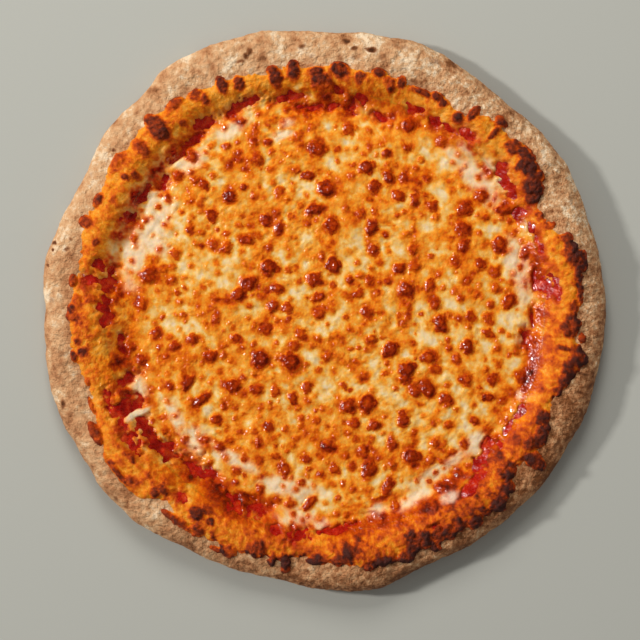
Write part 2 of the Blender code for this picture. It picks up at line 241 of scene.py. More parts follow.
def browned_spots(angle, radius):
    """Depth of the dough's browned spots, with ragged edges, from 0 to 1."""
    x, y, uneven = on_plan(angle, radius)
    x, y = (value + SPOT_RAGGED * uneven(0.006, seed, 2) for value, seed in ((x, 41.3), (y, 46.3)))
    depth = np.zeros_like(x)
    for degrees, middle, half_round, half_radial, percent in DOUGH_SPOTS:
        turn = math.radians(degrees)
        off_x, off_y = x - middle * MM * math.cos(turn), y - middle * MM * math.sin(turn)
        distance = oval_distance(off_x, off_y, half_radial * MM, half_round * MM, turn)
        depth = np.maximum(depth, percent / 100.0 * fade(0.15, 1.45, distance))
    return depth


def ring_triangles(counts, wraps=False):
    """Triangles that join rings of points, all starting at +X, by their counts."""
    triangles = []
    starts = np.concatenate(([0], np.cumsum(counts))).tolist()
    pairs = list(zip(range(len(counts) - 1), range(1, len(counts))))
    if wraps:
        pairs.append((len(counts) - 1, 0))
    for inner, outer in pairs:
        here, there = counts[inner], counts[outer]
        steps = [((k + 1) / here, 0) for k in range(here) if here > 1]
        steps += [((k + 1) / there, 1) for k in range(there) if there > 1]
        passed = [0, 0]
        for _, side in sorted(steps):
            near = (starts[inner] + passed[0] % here, starts[outer] + passed[1] % there)
            passed[side] += 1
            after = (starts[inner] + passed[0] % here, starts[outer] + passed[1] % there)
            triangles.append((*near, after[side]))
    return triangles


def ring_points(count, radius, height):
    """A ring of points, its radius and height plain or read at each angle."""
    angle = np.arange(count) * (math.tau / count)
    radius = radius(angle) if callable(radius) else np.full(count, radius)
    height = height(angle, radius) if callable(height) else np.full(count, height)
    return np.stack((radius * np.cos(angle), radius * np.sin(angle), height), axis=-1)


def plain_rings(height, sizes):
    """Level rings, each with a count of points and a radius."""
    return [ring_points(count, radius, height) for count, radius in sizes]


def inset_ring(count, inset, height=dough_surface):
    """A ring at one distance in from the edge."""
    return ring_points(count, lambda angle: edge_radius(angle) - inset, height)


def add_object(name, data):
    """A new object in the scene."""
    made = bpy.data.objects.new(name, data)
    bpy.context.scene.collection.objects.link(made)
    return made


def closed_piece(name, rings, wraps=False):
    """A closed, smooth mesh through rings, over the top and back below."""
    mesh = bpy.data.meshes.new(name)
    counts = [len(ring) for ring in rings]
    mesh.from_pydata(np.concatenate(rings).tolist(), [], ring_triangles(counts, wraps))
    mesh.shade_smooth()
    return add_object(name, mesh)


def keep_values(piece, **kept):
    """Store numbers for each point of a piece, for its material to read."""
    for name, values in kept.items():
        layer = piece.data.attributes.new(name, "FLOAT", "POINT")
        layer.data.foreach_set("value", np.ascontiguousarray(values, dtype=np.float32))


def crust_rings():
    """The dough's rings, and where those of the underside start."""
    rings = plain_rings(BASE_THICKNESS - MM, (
        (1, 0.0), (60, 0.020), (120, 0.050), (180, 0.080), (330, 0.110), (660, 0.130)))
    rings += [inset_ring(660, inset) for inset in (0.043, 0.040, 0.037, 0.034)]
    rings += [inset_ring(SPOKES, inset) for inset in np.arange(0.031, CREST_INSET, -0.0011)]
    shown_from = len(rings)
    for turn in np.linspace(math.pi / 2, 0.0, 26)[:-1]:
        rings.append(inset_ring(SPOKES, CREST_INSET * (1.0 - math.cos(turn))))
    for turn in np.linspace(0.0, math.pi / 2, 20)[:-1]:
        inset = UNDERSIDE_INSET * (1.0 - math.cos(turn))
        rings.append(inset_ring(SPOKES, inset, EDGE_HEIGHT * (1.0 - math.sin(turn))))
    for ring in rings[shown_from:]:
        angle, radius = polar(ring)
        weight = side_weight(edge_radius(angle) - radius)
        side = np.where(ring[:, 2] < EDGE_HEIGHT, 1.0, weight) * ease(0.0, 0.003, ring[:, 2])
        swell = layered(partial(unevenness, *ring.T), SIDE_RELIEF)
        ring[:, 0] += side * swell * np.cos(angle)
        ring[:, 1] += side * swell * np.sin(angle)

    def underside_height(angle, radius):
        hollow = np.clip(0.5 + 0.5 * on_plan(angle, radius)[2](0.020, 18.1, 2), 0.0, 1.0)
        return UNDERSIDE_HOLLOW * hollow * fade(0.150, 0.163, radius)

    under_from = len(rings)
    rings.append(inset_ring(660, UNDERSIDE_INSET, 0.0))
    for step in range(UNDERSIDE_RINGS - 1, 0, -1):
        share = step / UNDERSIDE_RINGS
        rings.append(ring_points(
            6 * step, lambda a: share * (edge_radius(a) - UNDERSIDE_INSET), underside_height))
    rings.append(ring_points(1, 0.0, 0.0))
    return rings, under_from


rings, under_from = crust_rings()
crust = closed_piece("crust_dough", rings)
points = np.concatenate(rings)
below = np.zeros(len(points))
below[sum(len(ring) for ring in rings[:under_from]):] = 1.0
below = np.maximum(below, fade(0.0015, 0.0060, points[:, 2]))
angles, radii = polar(points)
uneven = partial(unevenness, *points.T)
raised = uneven(0.009, 12.0, 2)
patchy = uneven(0.021, 24.4, 2)
speckle = ease(0.42, 0.72, uneven(0.0055, 26.2, 2)) * ease(-0.1, 0.5, patchy)
blotches = uneven(0.0050, 27.9, 3)
freckles = uneven(0.0022, 28.3, 2)
scorch = browned_spots(angles, radii) * (1.0 - below)
# Paler toward the top and darker toward the lower right: painted light and shade by side. The outer
# edge is also browned in patches.
side_light_and_edge_toast = 0.02 + 0.28 * toward(angles, 5.35, 0.50, 0.92) - 0.18 * toward(angles, 1.4, -0.6, 0.5)
side_light_and_edge_toast += 0.16 * fade(0.002, 0.010, edge_radius(angles) - radii) * ease(-0.3, 0.4, patchy)
toast = 0.5 + side_light_and_edge_toast + 0.26 * raised + 0.22 * patchy + 0.22 * blotches + 0.16 * freckles
scorch = np.clip(np.maximum(scorch, 0.35 * speckle), 0.0, 1.0)
# 1 toward the right and 0 toward the left: the dough there is mottled coarser, and painted a little
#                                           darker, as painted shade on the side away from the lamp.
coarse = ease(-0.6, 0.6, np.cos(angles + 0.25) + 0.6 * patchy)
keep_values(crust, scorch=scorch, toast=np.clip(toast, 0.0, 1.0), coarse=coarse, below=below)


def srgb(red, green, blue):
    """A colour of 0 to 255 steps as linear values with alpha."""
    steps = (value / 255.0 for value in (red, green, blue))
    return (*(s / 12.92 if s <= 0.04045 else ((s + 0.055) / 1.055) ** 2.4 for s in steps), 1.0)


def sum_maker(operation):
    """A way to add, subtract or multiply readings and numbers."""
    return lambda one, other: add_node(
        one.tree, "ShaderNodeMath", {0: one, 1: other}, operation=operation)


class Reading:
    """A value or colour at each place of a surface, for sums and products."""

    __add__, __sub__, __mul__ = map(sum_maker, ("ADD", "SUBTRACT", "MULTIPLY"))

    def __init__(self, tree, socket):
        self.tree, self.socket = tree, socket


def feed(node, values):
    """Give inputs of a node a reading or a plain value each."""
    for name, value in values.items():
        if isinstance(value, Reading):
            node.id_data.links.new(value.socket, node.inputs[name])
        else:
            node.inputs[name].default_value = value


def add_node(tree, kind, values, output=0, **settings):
    """Add a shader node and read one of its outputs."""
    made = tree.nodes.new(kind)
    for name, value in settings.items():
        setattr(made, name, value)
    feed(made, values)
    return Reading(tree, made.outputs[output])


def add_noise(place, scale, detail, roughness=0.5, distortion=0.0):
    """Cloudy noise between 0 and 1, lumps of 1/scale metres."""
    values = {"Vector": place, "Scale": scale, "Detail": detail, "Roughness": roughness}
    return add_node(place.tree, "ShaderNodeTexNoise", {**values, "Distortion": distortion})


def add_ramp(factor, stops):
    """Colours read along stops of place, red, green and blue."""
    ramp = factor.tree.nodes.new("ShaderNodeValToRGB")
    feed(ramp, {"Fac": factor})
    elements = ramp.color_ramp.elements
    for place, *colour in stops[1:-1]:
        elements.new(place).color = srgb(*colour)
    for end in (0, -1):
        elements[end].position, elements[end].color = stops[end][0], srgb(*stops[end][1:])
    return Reading(factor.tree, ramp.outputs[0])


def add_range(value, low, high, start=0.0, end=1.0):
    """Ease a value from start at low to end at high."""
    values = {"Value": value, "From Min": low, "From Max": high, "To Min": start, "To Max": end}
    return add_node(value.tree, "ShaderNodeMapRange", values, interpolation_type="SMOOTHSTEP")


def add_mix(factor, first, second):
    """Mix two colours."""
    values = {0: factor, 6: first, 7: second}
    return add_node(factor.tree, "ShaderNodeMix", values, output=2, data_type="RGBA")


def stored(tree, *names):
    """Numbers kept for each point of the mesh."""
    return [
        add_node(tree, "ShaderNodeAttribute", {}, output="Fac", attribute_name=name)
        for name in names]


def new_effect(name, inputs, outputs):
    """A shader node group and a reading of each of its inputs."""
    tree = bpy.data.node_groups.new(name, "ShaderNodeTree")
    kinds = {"Place": "NodeSocketVector", "Colour": "NodeSocketColor"}
    for way, names in (("INPUT", inputs), ("OUTPUT", outputs)):
        for socket in names:
            kind = kinds.get(socket, "NodeSocketFloat")
            tree.interface.new_socket(socket, in_out=way, socket_type=kind)
    given = tree.nodes.new("NodeGroupInput").outputs
    return tree, [Reading(tree, given[socket]) for socket in inputs]


def add_effect(effect, values):
    """Add a shared effect to a material, and read its outputs by name."""
    tree = values["Place"].tree
    group = tree.nodes.new("ShaderNodeGroup")
    group.node_tree = effect
    feed(group, values)
    return {output.name: Reading(tree, output) for output in group.outputs}


def new_material(name, values):
    """A material, its shader and the reading of its places."""
    material = bpy.data.materials.new(name)
    material.use_nodes = True
    shader = material.node_tree.nodes["Principled BSDF"]
    feed(shader, values)
    return material, shader, add_node(material.node_tree, "ShaderNodeTexCoord", {}, "Object")


def dress(shader, colour, roughness, height, depth):
    """Feed colour, roughness and a bump of a depth in metres into a shader."""
    values = {"Strength": 1.0, "Distance": depth, "Height": height}
    bump = add_node(colour.tree, "ShaderNodeBump", values)
    feed(shader, {"Base Color": colour, "Roughness": roughness, "Normal": bump})


def make_baked_grain():
    """The fine grain of a baked surface: specks, pores and swellings."""
    tree, (place, size) = new_effect("baked_grain", ("Place", "Size"), ("Grain", "Height"))
    def scale(width):
        return add_node(tree, "ShaderNodeMath", {0: 1.0, 1: width}, operation="DIVIDE")

    grain = add_noise(place, scale(size), 2.0, 0.6)
    height = grain * 0.35 + add_noise(place, scale(size * 3.6), 3.0)
    feed(tree.nodes.new("NodeGroupOutput"), {"Grain": grain, "Height": height})
    return tree


CRUST_COLOURS = (
    (0.0, 134, 78, 38), (0.25, 176, 116, 72), (0.5, 206, 148, 100), (0.75, 222, 174, 126),
    (1.0, 244, 214, 176),
)
SCORCH_COLOURS = (
    (0.0, 184, 122, 78), (0.45, 150, 92, 52), (0.75, 102, 56, 26), (1.0, 58, 30, 13))
UNDERSIDE_COLOURS = (
    (0.0, 112, 66, 40), (0.35, 176, 118, 74), (0.6, 206, 156, 108), (1.0, 228, 194, 152))
baked_grain = make_baked_grain()
crust_material, shader, place = new_material(
    "crust_baked_dough", {"Roughness": 0.8, "Specular IOR Level": 0.3})
crumb = add_effect(baked_grain, {"Place": place, "Size": 0.0009})
patches = add_noise(place, 62.0, 5.0, 0.62, 0.4)
mottle = add_noise(place, 300.0, 4.0, 0.6)
coarse, toast, below, scorch = stored(place.tree, "coarse", "toast", "below", "scorch")
# The tone darkens with the toast, which also holds the painted light and shade by side.
tone = (toast - 0.5) * -0.75 + 0.55
tone = (patches - 0.5) * 1.3 + tone
for part, share in ((mottle, 1.7), (crumb["Grain"], 0.8)):
    tone = (part - 0.5) * share * (coarse * 0.65 + 0.45) + tone
# Painted shade: the dough a little darker toward the right, away from the lamp.
tone = coarse * -0.08 + tone
leopard = patches * 0.7 + mottle * 0.4
under_colour = add_ramp(add_range(leopard, 0.36, 0.72), UNDERSIDE_COLOURS)
side_colour = add_mix(below, add_ramp(tone, CRUST_COLOURS), under_colour)
burn = (mottle - 0.5) * 0.5 + scorch
scorch_colour = add_ramp(burn, SCORCH_COLOURS)
crust_colour = add_mix(add_range(burn, 0.10, 0.62), side_colour, scorch_colour)
dress(shader, crust_colour, add_range(tone, 0.1, 0.9, 0.66, 0.88), crumb["Height"], 0.0024)
crust.data.materials.append(crust_material)
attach(crust, "root")
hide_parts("crust")


# ---- The tomato sauce ----
# Crushed tomato ladled over the base and spread in rings toward the rim. It is cooked down to a
# soft, wet, lumpy layer, thickest at the foot of the rim, and shows where the cheese has parted.

SAUCE_STOPS = (0.0, 0.68, 0.76, 0.82, 0.87)
SAUCE_THICKNESS = (0.0012, 0.0013, 0.0022, 0.0018, 0.0004)
SAUCE_RELIEF = ((0.00070, 0.0065, 52.5, 3), (0.00035, 0.0024, 53.5), (0.0004, 0.018, 51.5))
SAUCE_START = 0.112
SAUCE_END = 0.87
SAUCE_LEVEL, SAUCE_BOTTOM = 0.0063, 0.0046
SAUCE_RINGS, SAUCE_SPOKES = 58, 900
OUTER_START = 0.72
CHEESE_END = 0.90
CHEESE_BORDER_MM = (
    158.1, 159.6, 160.1, 158.1, 151.1, 148.1, 154.6, 159.1, 160.1, 157.6, 158.1, 149.6, 151.6,
    150.1, 149.6, 152.1, 151.6, 152.6, 152.6, 153.1, 153.6, 153.1, 155.6, 157.6, 158.6, 159.6,
    160.6, 162.6, 159.6, 162.1, 159.1, 158.1, 159.1, 156.1, 155.1, 157.6, 157.6, 160.1, 158.1,
    156.1, 154.6, 157.1, 160.6, 163.6, 163.1, 163.6, 153.6, 160.1, 158.6, 159.1, 159.6, 157.1,
    156.6, 154.1, 157.1, 157.1, 162.1, 160.1, 161.1, 161.1, 158.1, 163.1, 161.6, 161.1, 154.1,
    157.6, 157.6, 154.1, 153.6, 160.6, 163.1, 157.1,
)
LEAST_BARE_RIM = 6.0 * MM


def cheese_radius(angle):
    """The outer border of the cheese, where the bare rim begins."""
    return np.minimum(MM * around(CHEESE_BORDER_MM, angle), edge_radius(angle) - LEAST_BARE_RIM)


def plan_fraction(angle, radius):
    """0 at the centre, 0.90 at the border of the cheese and 1 at the edge."""
    edge, border = edge_radius(angle), cheese_radius(angle)
    start = OUTER_START * edge
    middle = OUTER_START + (CHEESE_END - OUTER_START) * (radius - start) / (border - start)
    outer = CHEESE_END + (1.0 - CHEESE_END) * (radius - border) / (edge - border)
    return np.where(radius < start, radius / edge, np.where(radius < border, middle, outer))


def fraction_radius(angle, fraction):
    """The radius of a fraction between 0.72 and 0.90."""
    start = OUTER_START * edge_radius(angle)
    share = cheese_radius(angle) - start
    return start + share * (fraction - OUTER_START) / (CHEESE_END - OUTER_START)


def sauce_top(angle, radius):
    """The sauce's upper surface: a wet layer with soft lumps of tomato."""
    fraction = plan_fraction(angle, radius)
    lumps = layered(on_plan(angle, radius)[2], SAUCE_RELIEF) * fade(0.83, 0.87, fraction)
    thickness = np.interp(fraction, SAUCE_STOPS, SAUCE_THICKNESS)
    return dough_surface(angle, radius) + thickness + lumps


def sunk(depth):
    """The height of a hidden side, buried in the dough by a depth."""
    return lambda angle, radius: dough_surface(angle, radius) - depth


def sauce_rings():
    """The sauce's rings: plain under the cheese, close together where it shows."""
    def at(share):
        return lambda angle: SAUCE_START + (
            fraction_radius(angle, SAUCE_END) - SAUCE_START) * share

    rings = plain_rings(SAUCE_LEVEL, ((1, 0.0), (60, 0.030), (120, 0.060), (240, 0.090)))
    for step in range(SAUCE_RINGS + 1):
        rings.append(ring_points(SAUCE_SPOKES, at(step / SAUCE_RINGS), sauce_top))
    rings.append(ring_points(SAUCE_SPOKES, at(1.004), sunk(0.0012)))
    rings += [ring_points(450, at(share), sunk(MM)) for share in np.linspace(0.9, 0.4, 11)]
    return rings + plain_rings(SAUCE_BOTTOM, ((240, 0.110), (120, 0.060), (60, 0.030), (1, 0.0)))


rings = sauce_rings()
sauce = closed_piece("tomato_sauce_layer", rings)
keep_values(sauce, pulp=0.5 + 0.5 * unevenness(*np.concatenate(rings).T, 0.0065, 52.5, 2))

SAUCE_COLOURS = (
    (0.0, 88, 4, 1), (0.3, 144, 8, 2), (0.55, 184, 26, 5), (0.78, 212, 66, 14), (1.0, 236, 132, 66))
sauce_material, shader, place = new_material("sauce_cooked_tomato", {
    "Coat Weight": 0.35, "Coat Roughness": 0.12, "Subsurface Weight": 0.12,
    "Subsurface Scale": 0.0012, "Subsurface Radius": (1.0, 0.25, 0.12)})
crumb = add_effect(baked_grain, {"Place": place, "Size": 0.0011})
flesh = add_noise(place, 190.0, 4.0, 0.55, 0.5)
sauce_colour = add_ramp(stored(place.tree, "pulp")[0] * 0.5 + flesh * 0.84 - 0.15, SAUCE_COLOURS)
wetness = add_range(crumb["Grain"], 0.3, 0.7, 0.18, 0.42)
dress(shader, sauce_colour, wetness, crumb["Height"], 0.0008)
sauce.data.materials.append(sauce_material)
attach(sauce, "root")
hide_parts("tomato_sauce")


# ---- The melted cheese of the middle ----
# Grated mozzarella, scattered over the sauce and melted into one stretchy sheet. Steam blows it
# into blisters whose tops brown and glisten, orange oil gathers round them, and it stays milky
# white where it is thin beside the ring of sauce.

MIDDLE_RINGS = 170
RIM_RINGS = 46
MIDDLE_RADIUS = 0.137
MIDDLE_END, RIM_START = 0.131, 0.147
OVERHANG = 0.011
EDGE_CLEAR = 0.0035
CHEESE_STOPS = (0.0, 0.64, 0.72, 0.76, 0.84, 0.87, 0.90)
CHEESE_THICKNESS = (0.0049, 0.0052, 0.0046, 0.0040, 0.0032, 0.0022, 0.0012)
CHEESE_BOTTOM = 0.0055 - MM
SAUCE_PROUD = 0.0007
# A browner band along the foot of the rim's inner slope, its depth by side: partly real browning,
# partly painted shade in the crease where the rim's shadow falls.
VALLEY_RADIUS, VALLEY_WIDTH = 0.1345, 0.0075
VALLEY_BROWNING_AND_SHADE = (0.27, 0.11, 0.04, 0.20, 0.07, 0.13, 0.00, 0.20, 0.34, 0.19, 0.30, 0.31)
STAIN_RADIUS, STAIN_WIDTH = 0.1365, 0.0070
STAIN_ROUND = (0.40, 0.45, 0.40, 0.50, 0.58, 1.00, 0.44, 0.58, 0.50, 0.40, 0.55, 0.40)
# The rim's browning by side: paler from 60 to 150 degrees, painted light where its inner slope lies
# in shade; browner toward the left and the lower right.
RIM_BROWNING_AND_SIDE_LIGHT = (0.06, 0.00, -0.06, -0.05, -0.05, -0.03, 0.13, 0.03, 0.01, 0.18, 0.24, 0.15)
SCORCHED_TOWARD = -0.75
STREAK_RADIUS, STREAK_SQUEEZE, STREAK_STRETCH = 0.15, 0.6, 3.2
BLISTER_REACH = 0.77
BLISTER_RISE = 0.40
LOBE_REACH, RIM_LOBE_REACH = 0.72, 0.7

# The largest blisters: x, y, half length, half width in millimetres, turn.
LARGE_BLISTERS = (
    (-4, 101, 5.6, 5.6, 0), (-10, 84.5, 5.6, 3.1, 0), (1.5, 76, 6.2, 5.6, 0),
    (-6.5, 63.5, 6.9, 3.7, 15), (4.5, 54, 6.2, 5, 90), (-36.5, 56.5, 5, 3.7, 100),
    (-48.5, 44.5, 5, 3.7, 0), (-34.5, 28, 6.2, 5.6, 0), (-47.5, 17, 6.2, 5, 0),
    (-53.5, 11, 5.6, 4.4, 50), (-29.5, 14.5, 5, 3.7, 0), (-7, 19.5, 5.6, 5, 100),
    (-32, 3.5, 5, 3.7, 25), (-59.5, 72, 5, 4.4, 110), (-70, 59.5, 5, 3.7, 100),
    (-109.5, 22.5, 6.2, 5.2, 70), (52.5, 116, 5.6, 5, 90), (26, 90, 5.2, 5, 0),
    (40, 83.5, 5.6, 3.7, 115), (31, 78, 5, 3.9, 95), (46.5, 72, 5, 3.7, 5), (56.5, 70, 5, 3.4, 95),
    (87.5, 64, 5.8, 4.9, 40), (87, 52, 6.6, 4.3, -35), (97.5, 72, 5, 4, 75),
    (109, 42.5, 5.6, 4.6, 80), (124.5, 36.5, 5, 3.1, 85), (112, 64, 7.2, 4.2, 20),
    (29.5, 52, 6.4, 3.7, 60), (5.5, 29, 7.2, 4.4, 105), (51, 13.5, 6.4, 5.2, 110),
    (47, 26.5, 5, 3.7, 0), (115, 6.5, 5.8, 4.2, 60), (-84.5, -44.5, 7, 2.9, 58),
    (-76, -54.5, 7.2, 3, 42), (-71, -28, 5, 4, 10), (-39.5, -29.5, 7, 5.8, 120),
    (-20.5, -31.5, 7.6, 6.3, -35), (-57.5, -46, 6, 4.4, 15), (-19.5, -54.5, 5, 3.1, 95),
    (-67.5, -67.5, 5, 3.8, -10), (-24.5, -98.5, 5.3, 3.8, 92), (-9, -119.5, 7, 3, 52),
    (26.5, -0.5, 5.4, 3.4, -60), (72.5, -8, 6.9, 4.4, -62), (89.5, -22, 6.2, 4, 95),
    (41, -23.5, 6.2, 5, 55), (64.5, -28.5, 5.2, 4.8, -40), (52.5, -36, 5.8, 4.6, 60),
    (65, -49, 6.2, 5, 95), (56.5, -50, 5, 4.2, 110), (76, -54.5, 5, 4.3, -20),
    (102, -53.5, 5, 2.8, 0), (14.5, -59.5, 5.8, 5, -10), (26.5, -57, 7.4, 5.4, 72),
    (49.5, -67.5, 5, 4.3, 100), (42.5, -82, 5, 3.5, -55), (54, -90, 6, 5.6, 0),
    (28, -98.5, 6, 5.6, 30), (39, -109.5, 7, 3.8, 68), (74, -109, 5, 3.6, 5),
    (67, -121.5, 4.4, 4, -20),
)

# The next largest, in the same terms.
MEDIUM_BLISTERS = (
    (-28, 51.5, 3.7, 3.7, 0), (-75, 79, 4.4, 3.1, 120), (-69, 42, 4, 3.7, 0),
    (-61, 39.5, 4.4, 3.7, 90), (-41, 95, 4.4, 3.7, 120), (-28, 75, 3.9, 3.6, 20),
    (-3.5, 9, 5, 3.1, 10), (15.5, 114, 4.4, 4.2, 0), (67, 66, 4.6, 3.5, -40),
    (87, 41.5, 4.4, 3.7, 90), (81.5, 31, 3.9, 3.4, 20), (97.5, 29.5, 4.4, 3.4, 35),
    (106.5, 24.5, 3.6, 3.4, 0), (30.5, 38.5, 4.4, 3.7, 100), (56, 28, 4.4, 3.1, 15),
    (66, 17, 4.4, 3.7, 110), (68.5, 4.5, 4.2, 4, 0), (-114, 4.5, 4.4, 3.6, 90),
    (-114, -29.5, 3.6, 3.3, 0), (-55, -16.5, 3.9, 3.6, 0), (-19, -21.5, 4, 3.2, -50),
    (-42, -49, 4.4, 3.8, 0), (-30.5, -49.5, 4, 3.6, 80), (-11, -47, 4.4, 3.6, 80),
    (-34.5, -72, 3.9, 3.5, 60), (-11.5, -92, 4.4, 3.1, -20), (-14.5, -14, 4, 3.4, 110),
    (-36.5, -12, 4.3, 3.6, 100), (-3.5, -1.5, 4.5, 4.2, 0), (-23, 2, 4.4, 3.7, -25),
    (91.5, -3.5, 4, 3.5, -30), (102, -4.5, 4, 3.4, 90), (102.5, -14, 4.8, 3.2, -30),
    (29, -17, 4, 3.4, 30), (69.5, -36, 4.6, 3.6, 0), (50, -41.5, 4.4, 3.8, 30),
    (88.5, -42.5, 4, 3.6, 90), (104.5, -42.5, 4.2, 3.9, 0), (122, -41, 4.6, 3, -35),
    (19, -70, 4.2, 3.6, -25), (31, -71, 4.6, 3.4, 15), (24, -87.5, 3.8, 3.4, 90),
    (6, -98.5, 4.4, 3.7, -30), (-65, -84.5, 3.1, 3.1, 0), (-55, -99.5, 3.1, 3.1, 0),
)

# The small ones, drawn at random: how many, half lengths, depths of browning, space round each.
SMALL_BLISTERS = (
    (55, 2.8, 3.9, 0.64, 0.78, 2.5), (250, 1.8, 2.8, 0.52, 0.74, 0.5),
    (330, 1.1, 2.0, 0.38, 0.60, 0.2),
)

# Openings where the sauce shows: angle, radius, half angle in degrees, half length along it.
OPENINGS = (
    (39.5, 141, 1.5, 3.5), (35, 139, 3.5, 3.2), (26.8, 138, 1.4, 5), (18, 140, 3.8, 1.7),
    (7, 138, 3, 4.5), (5.5, 144, 3, 2.2), (8.5, 133, 2.8, 1.8), (52, 141, 2.6, 3.2),
    (55, 138, 1.8, 2), (59.5, 136, 1, 3), (66, 138, 2, 2), (74, 127, 2.5, 2.2), (80, 134, 1.8, 3.2),
    (82, 127, 1.5, 3.5), (88, 128, 3.5, 1.6), (86, 138, 1.5, 2), (93, 128, 4, 2),
    (99, 135.5, 4, 2.4), (111, 139, 4, 2.4), (114, 137, 3, 2.2), (122.5, 139, 2.6, 3.2),
    (127, 134, 3, 2), (133.5, 132.5, 2.6, 1.8), (147, 134, 3, 2.2), (154.3, 135, 1.8, 4),
    (172.8, 147.5, 1.9, 3.6), (168.6, 143, 1.1, 2.6), (172, 135, 2.8, 3.6), (179, 137.5, 1.8, 4),
    (141.5, 128, 2, 3), (182, 136, 1.8, 3.6), (190, 127, 2.8, 1.8), (198.8, 130, 1.5, 7),
    (203.5, 144, 2.6, 3.4), (206, 136, 3.2, 5.5), (213, 144, 3.6, 3.8), (211.5, 133, 2.6, 3.8),
    (218, 133, 5, 3), (222.5, 129, 3, 5.5), (204.5, 127, 2, 3), (230, 127, 5, 4),
    (234.5, 123, 2.4, 3.2), (227, 117, 2.4, 2.2), (232.6, 146, 1.7, 3), (245, 132.5, 2, 4.2),
    (251.5, 130, 3, 5), (257, 139, 1.7, 3.4), (264, 140.5, 2.6, 4.4), (269.8, 135.5, 1.4, 2.4),
    (273.5, 137, 3.4, 2), (276.8, 133.5, 1.8, 1.5), (297.5, 149.5, 1.4, 2), (308.5, 143, 3.2, 2),
    (312, 140, 2.4, 2.8), (314.8, 136, 1.8, 3.2), (318, 134, 3, 2.6), (321.3, 131, 1.8, 4),
    (323.2, 137, 0.9, 1.8), (328, 135.5, 1.6, 2), (333.5, 137, 1.5, 1.8), (352, 126.5, 2.4, 3.4),
    (358, 130, 2.6, 1.5),
)

# Milky patches, in the same terms.
MILKY_PATCHES = (
    (12, 124, 10, 6), (40, 126, 10, 7), (24, 136, 1.8, 2.2), (41.5, 136, 2, 2.5), (49, 134, 3, 2.5),
    (50, 127, 4, 3), (117, 127.5, 4.5, 4), (101, 120, 2.5, 3), (131.5, 124, 5, 5), (103, 113, 3, 3),
    (163, 123.5, 9, 6.5), (172, 122, 4, 5), (153, 119, 5, 9), (146, 127, 2, 4), (158, 114, 3, 8),
    (149, 118, 5, 7), (208.8, 131, 0.8, 8), (203, 124, 3.5, 4.5), (224, 115, 4, 8),
    (215, 116, 6, 6), (262, 129, 5, 5), (258, 112, 9, 6), (239, 108, 9, 4), (269, 131, 2, 3),
    (284.5, 128, 2.4, 4.5), (304, 139, 2, 3.5), (294, 130, 5, 3.5), (308, 122, 10, 4),
    (318, 124, 5, 4.5), (337, 132, 1.6, 2.2),
)

# Golden patches where the middle is baked as deep as the rim, in the same terms.
GOLDEN_PATCHES = (
    (178, 125, 8, 15), (187, 125, 8, 12), (194, 132, 5, 14), (247, 127, 9, 6), (240, 128, 5, 10),
    (282, 139, 6, 6), (291, 140, 8, 6), (345, 133, 7, 5), (215, 121, 13, 4), (285, 123, 9, 2.5),
    (12, 135, 6, 4), (28, 135, 4, 8), (60, 135, 12, 8), (72, 138, 8, 8), (85, 124, 6, 6),
    (95, 123, 5, 6), (128, 137, 8, 5), (119, 110, 6, 7),
)

